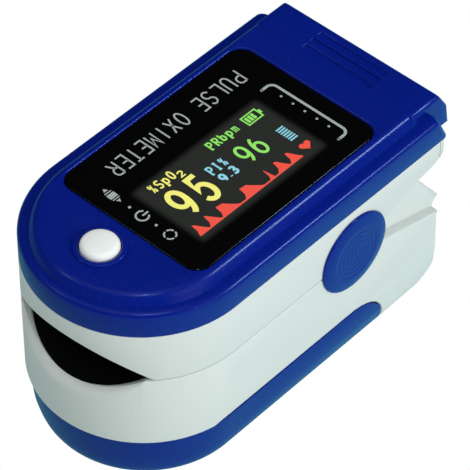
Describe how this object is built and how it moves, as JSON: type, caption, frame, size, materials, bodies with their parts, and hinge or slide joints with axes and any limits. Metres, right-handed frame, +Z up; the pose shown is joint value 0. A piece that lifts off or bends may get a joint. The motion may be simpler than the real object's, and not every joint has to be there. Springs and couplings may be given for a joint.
{
  "type": "fingertip pulse oximeter",
  "caption": "Fingertip pulse oximeter: two sprung half-shells hinged into a finger clip, with a colour display, push button, finger pads and sliding battery door.",
  "frame": {"origin": "centre of the outline on the surface the part stands on", "axes": "+X right, +Y from the finger opening towards the hinge and grip end, +Z up through the display"},
  "size_m": [0.0342, 0.0624, 0.036],
  "materials": {
    "blue_plastic": "satin moulded ABS",
    "white_plastic": "satin moulded ABS",
    "smoked_window": "polished smoked acrylic with grey printing",
    "silicone": "matte silicone rubber",
    "circuit_board": "green solder mask",
    "display_glass": "dark display glass",
    "flex_film": "amber polyimide film",
    "black_epoxy": "moulded epoxy",
    "small_parts": "ceramic, metal and epoxy parts",
    "white_button": "satin moulded plastic",
    "led_package": "white ceramic package",
    "clear_lens": "polished clear epoxy",
    "battery_wrap": "plain shrink sleeve",
    "nickel_steel": "nickel-plated sheet and wire",
    "steel": "ground steel"
  },
  "bodies": {
    "lower": {"lower_shell": "white_plastic", "lower_pad": "silicone", "sensor_board": "circuit_board", "photodiode": "black_epoxy", "sensor_lens": "clear_lens", "sensor_flex": "flex_film", "battery_left": "battery_wrap", "battery_right": "battery_wrap", "contact_plates": "nickel_steel", "contact_springs": "nickel_steel", "torsion_spring_left": "steel", "torsion_spring_right": "steel"},
    "upper": {"top_cover": "blue_plastic", "display_window": "smoked_window", "upper_shell": "white_plastic", "upper_pad": "silicone", "main_board": "circuit_board", "display_panel": "display_glass", "display_flex": "flex_film", "controller_chip": "black_epoxy", "board_parts": "small_parts", "board_screws": "steel", "tact_switch": "nickel_steel", "emitter_board": "circuit_board", "emitter_led": "led_package", "emitter_lens": "clear_lens", "hinge_pin": "steel", "pivot_cap_left": "blue_plastic", "pivot_cap_right": "blue_plastic"},
    "button": {"power_button": "white_button"},
    "plunger": {"switch_plunger": "black_epoxy"},
    "door": {"battery_door": "blue_plastic"}
  },
  "joints": [
    {"name": "jaw_hinge", "type": "hinge", "parent": "lower", "child": "upper", "pos_m": [0, 0.009, 0.0212], "axis": [-1, 0, 0], "range_deg": [0, 18], "stiffness_Nm_per_rad": 0.15, "springref_deg": -34.38, "deforming": ["sensor_flex", "torsion_spring_left", "torsion_spring_right"]},
    {"name": "button_press", "type": "slide", "parent": "upper", "child": "button", "axis": [0, 0, -1], "range_m": [0, 0.00025], "stiffness_N_per_m": 500, "springref_m": -0.001},
    {"name": "switch_press", "type": "slide", "parent": "upper", "child": "plunger", "axis": [0, 0, -1], "range_m": [0, 0.00025]},
    {"name": "battery_door_slide", "type": "slide", "parent": "lower", "child": "door", "axis": [0, -1, 0], "range_m": [0, 0.05]}
  ],
  "couplings": [
    {"joint": "switch_press", "follows": "button_press", "ratio": 1}
  ]
}
